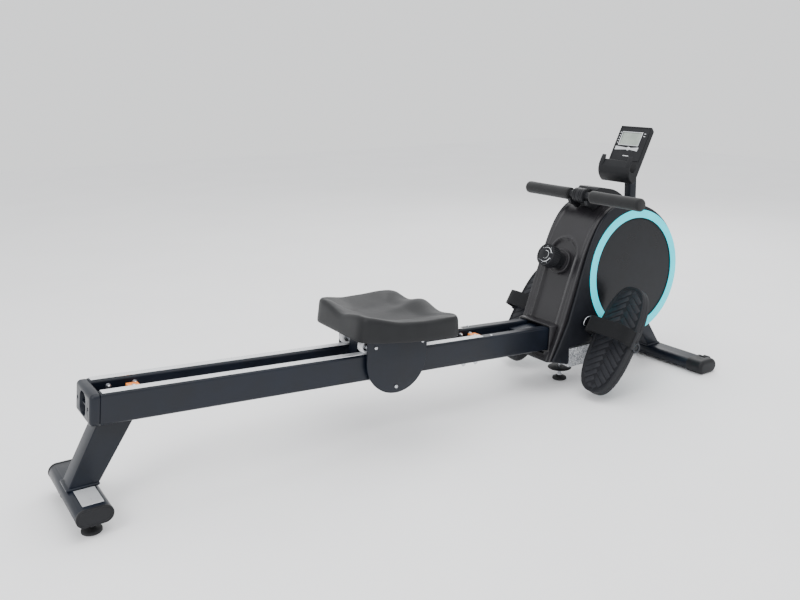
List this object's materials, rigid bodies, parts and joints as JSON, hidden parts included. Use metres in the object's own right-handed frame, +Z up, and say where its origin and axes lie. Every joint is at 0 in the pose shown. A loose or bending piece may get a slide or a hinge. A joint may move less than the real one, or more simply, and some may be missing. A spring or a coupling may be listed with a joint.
{
  "type": "rowing machine",
  "caption": "Magnetic rowing machine: seat rolling on a twin rail, tilting pedals with straps, pull handle, resistance knob, round flywheel housing and a console on a post.",
  "frame": {"origin": "middle of the machine's footprint, on the floor", "axes": "+X from the rear foot to the flywheel housing (the way the rower faces), +Y to the rower's left, +Z up"},
  "size_m": [1.9536, 0.522, 0.7828],
  "materials": {
    "black_plastic": "black plastic",
    "black_rubber": "matt black rubber",
    "bright_steel": "bright brushed steel",
    "button_plastic": "grey button",
    "cyan_plastic": "bright cyan ring",
    "disc_plastic": "smooth near-black plastic",
    "fairing_plastic": "fine-textured charcoal plastic",
    "grip_foam": "matt black foam",
    "orange_rubber": "orange rubber",
    "pedal_plastic": "matt black plastic with a chevron tread",
    "roller_plastic": "light grey nylon",
    "satin_paint": "satin dark blue-black powder coat",
    "seat_foam": "moulded charcoal foam with a soft sheen",
    "shell_plastic": "fine-textured near-black plastic",
    "speckled_paint": "grey speckled hammer paint",
    "webbing": "black woven webbing"
  },
  "bodies": {
    "base": {"rail_left": "satin_paint", "rail_right": "satin_paint", "rail_strip_left": "bright_steel", "rail_strip_right": "bright_steel", "rail_end_cap": "satin_paint", "stop_bridge": "satin_paint", "rear_stop": "orange_rubber", "front_stop": "orange_rubber", "rear_leg": "satin_paint", "rear_stabiliser": "satin_paint", "rear_cap_left": "black_plastic", "rear_cap_right": "black_plastic", "front_stabiliser": "satin_paint", "front_cap_left": "black_plastic", "front_cap_right": "black_plastic", "main_frame": "satin_paint", "front_brace": "satin_paint", "base_box": "speckled_paint", "center_fairing": "fairing_plastic", "housing_cover_left": "shell_plastic", "housing_cover_right": "shell_plastic", "housing_disc_left": "disc_plastic", "housing_disc_right": "disc_plastic", "light_ring_left": "cyan_plastic", "light_ring_right": "cyan_plastic", "pedal_bar": "satin_paint", "handle_cradle": "black_plastic", "console_body": "black_plastic", "console_post": "satin_paint"},
    "seat_carriage": {"seat_cushion": "seat_foam", "seat_frame": "satin_paint", "seat_plate_left": "satin_paint", "seat_plate_right": "satin_paint", "seat_axle_rear": "bright_steel", "seat_axle_front": "bright_steel", "seat_axle_lower": "bright_steel"},
    "roller_rear_left": {"roller_rear_left": "roller_plastic"},
    "roller_rear_right": {"roller_rear_right": "roller_plastic"},
    "roller_front_left": {"roller_front_left": "roller_plastic"},
    "roller_front_right": {"roller_front_right": "roller_plastic"},
    "roller_lower_left": {"roller_lower_left": "roller_plastic"},
    "roller_lower_right": {"roller_lower_right": "roller_plastic"},
    "pedal_left": {"pedal_left": "pedal_plastic", "foot_strap_left": "webbing"},
    "pedal_right": {"pedal_right": "pedal_plastic", "foot_strap_right": "webbing"},
    "handle": {"handle_bar": "black_plastic", "grip_left": "grip_foam", "grip_right": "grip_foam", "pull_strap": "webbing"},
    "spool": {"strap_spool": "black_plastic"},
    "flywheel": {"flywheel": "bright_steel"},
    "knob": {"resistance_knob": "black_plastic"},
    "button": {"console_button": "button_plastic"},
    "transport_wheel_left": {"transport_wheel_left": "black_rubber"},
    "rear_foot_left": {"rear_foot_left": "black_rubber"},
    "transport_wheel_right": {"transport_wheel_right": "black_rubber"},
    "rear_foot_right": {"rear_foot_right": "black_rubber"},
    "middle_foot": {"middle_foot": "black_rubber"}
  },
  "joints": [
    {"name": "seat_slide", "type": "slide", "parent": "base", "child": "seat_carriage", "axis": [0.998, 0, -0.063], "range_m": [-0.555, 0.21]},
    {"name": "roller_rear_left_spin", "type": "hinge", "parent": "seat_carriage", "child": "roller_rear_left", "pos_m": [-0.23539, 0.048, 0.25914], "axis": [0, 1, 0], "continuous": true},
    {"name": "roller_rear_right_spin", "type": "hinge", "parent": "seat_carriage", "child": "roller_rear_right", "pos_m": [-0.23539, -0.048, 0.25914], "axis": [0, 1, 0], "continuous": true},
    {"name": "roller_front_left_spin", "type": "hinge", "parent": "seat_carriage", "child": "roller_front_left", "pos_m": [-0.06373, 0.048, 0.24831], "axis": [0, 1, 0], "continuous": true},
    {"name": "roller_front_right_spin", "type": "hinge", "parent": "seat_carriage", "child": "roller_front_right", "pos_m": [-0.06373, -0.048, 0.24831], "axis": [0, 1, 0], "continuous": true},
    {"name": "roller_lower_left_spin", "type": "hinge", "parent": "seat_carriage", "child": "roller_lower_left", "pos_m": [-0.15662, 0.048, 0.14184], "axis": [0, 1, 0], "continuous": true},
    {"name": "roller_lower_right_spin", "type": "hinge", "parent": "seat_carriage", "child": "roller_lower_right", "pos_m": [-0.15662, -0.048, 0.14184], "axis": [0, 1, 0], "continuous": true},
    {"name": "pedal_left_tilt", "type": "hinge", "parent": "base", "child": "pedal_left", "pos_m": [0.56175, 0.184, 0.1585], "axis": [0, 1, 0], "range_deg": [-7, 40]},
    {"name": "pedal_right_tilt", "type": "hinge", "parent": "base", "child": "pedal_right", "pos_m": [0.56175, -0.184, 0.1585], "axis": [0, 1, 0], "range_deg": [-7, 40]},
    {"name": "handle_pull", "type": "slide", "parent": "base", "child": "handle", "axis": [-0.9848, 0, 0.1736], "range_m": [0, 1.1]},
    {"name": "spool_spin", "type": "hinge", "parent": "base", "child": "spool", "pos_m": [0.67975, 0, 0.488], "axis": [0, 1, 0], "continuous": true},
    {"name": "flywheel_spin", "type": "hinge", "parent": "base", "child": "flywheel", "pos_m": [0.67975, 0, 0.3], "axis": [0, 1, 0], "continuous": true},
    {"name": "knob_turn", "type": "hinge", "parent": "base", "child": "knob", "pos_m": [0.49247, 0, 0.38082], "axis": [-0.8988, 0, 0.4384], "range_deg": [-135, 135]},
    {"name": "button_press", "type": "slide", "parent": "base", "child": "button", "axis": [0.8796, 0, -0.4756], "range_m": [0, 0.0015], "stiffness_N_per_m": 400},
    {"name": "transport_wheel_left_spin", "type": "hinge", "parent": "base", "child": "transport_wheel_left", "pos_m": [0.95675, 0.207, 0.024], "axis": [0, 1, 0], "continuous": true},
    {"name": "rear_foot_left_turn", "type": "hinge", "parent": "base", "child": "rear_foot_left", "pos_m": [-0.93825, 0.095, 0.031], "axis": [0, 0, 1], "continuous": true},
    {"name": "transport_wheel_right_spin", "type": "hinge", "parent": "base", "child": "transport_wheel_right", "pos_m": [0.95675, -0.207, 0.024], "axis": [0, 1, 0], "continuous": true},
    {"name": "rear_foot_right_turn", "type": "hinge", "parent": "base", "child": "rear_foot_right", "pos_m": [-0.93825, -0.095, 0.031], "axis": [0, 0, 1], "continuous": true},
    {"name": "middle_foot_turn", "type": "hinge", "parent": "base", "child": "middle_foot", "pos_m": [0.50475, 0, 0.06], "axis": [0, 0, 1], "continuous": true}
  ],
  "couplings": [
    {"joint": "roller_rear_left_spin", "follows": "seat_slide", "rad_per_m": 57.143},
    {"joint": "roller_rear_right_spin", "follows": "seat_slide", "rad_per_m": 57.143},
    {"joint": "roller_front_left_spin", "follows": "seat_slide", "rad_per_m": 57.143},
    {"joint": "roller_front_right_spin", "follows": "seat_slide", "rad_per_m": 57.143},
    {"joint": "spool_spin", "follows": "handle_pull", "rad_per_m": -25}
  ]
}
